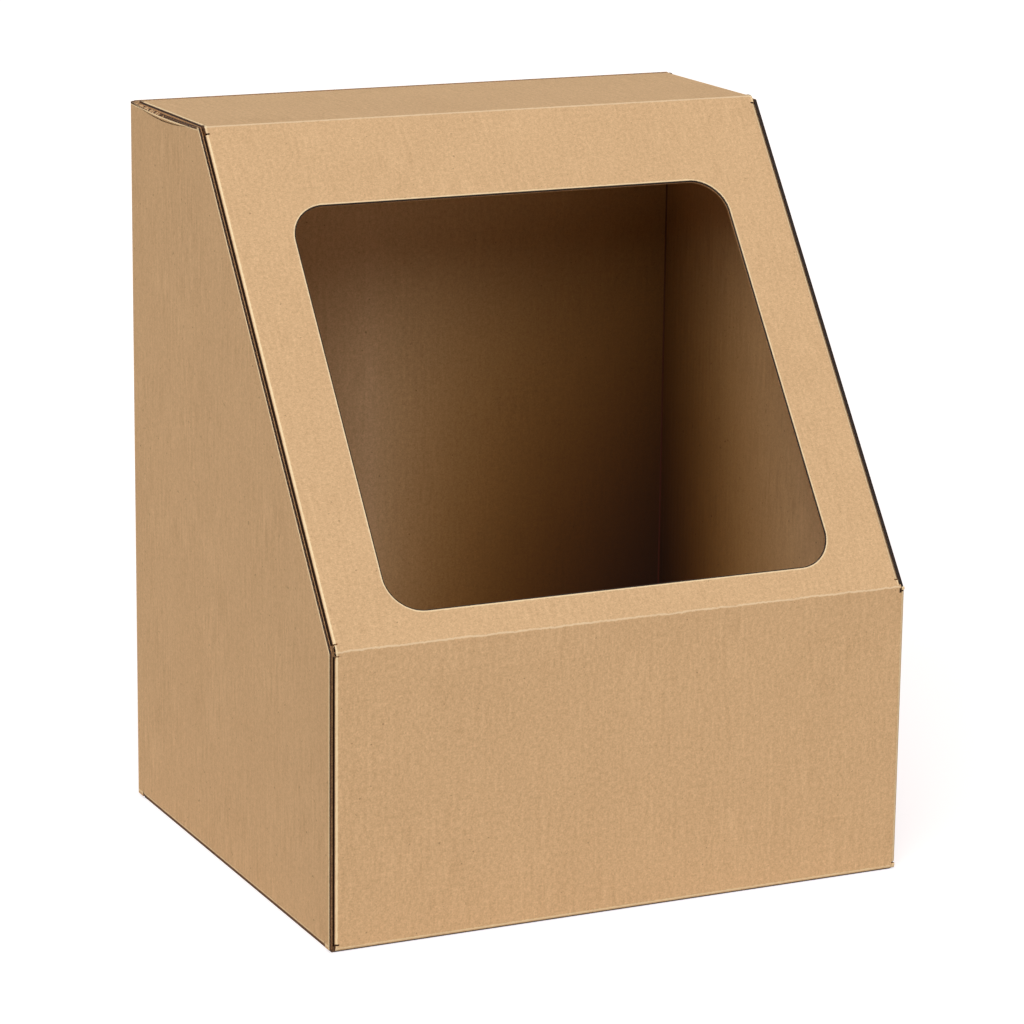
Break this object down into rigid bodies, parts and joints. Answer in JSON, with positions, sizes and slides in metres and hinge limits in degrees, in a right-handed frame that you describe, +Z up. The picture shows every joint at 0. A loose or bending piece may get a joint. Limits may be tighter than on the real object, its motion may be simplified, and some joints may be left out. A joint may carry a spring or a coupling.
{
  "type": "display carton",
  "caption": "Slant-fronted display carton of plain kraft corrugated board: walls glued into a sleeve, a windowed lid hinged at the front crease and a tuck-in bottom.",
  "frame": {"origin": "under the middle of the carton's outline, on the surface that it stands on", "axes": "+X to the right across the front, +Y from the front to the back, +Z up"},
  "size_m": [0.28, 0.238, 0.335],
  "materials": {
    "kraft_board": "matt unbleached kraft liner",
    "kraft_board_lid": "matt unbleached kraft liner",
    "kraft_board_bottom": "matt unbleached kraft liner"
  },
  "bodies": {
    "carton": {"carton_body": "kraft_board"},
    "lid": {"lid": "kraft_board_lid"},
    "bottom": {"bottom_closure": "kraft_board_bottom"}
  },
  "joints": [
    {"name": "lid_hinge", "type": "hinge", "parent": "carton", "child": "lid", "pos_m": [0, -0.11883, 0.13394], "axis": [1, 0, 0], "range_deg": [0, 120]},
    {"name": "bottom_hinge", "type": "hinge", "parent": "carton", "child": "bottom", "pos_m": [0, -0.11819, 0.00081], "axis": [-1, 0, 0], "range_deg": [0, 100]}
  ]
}
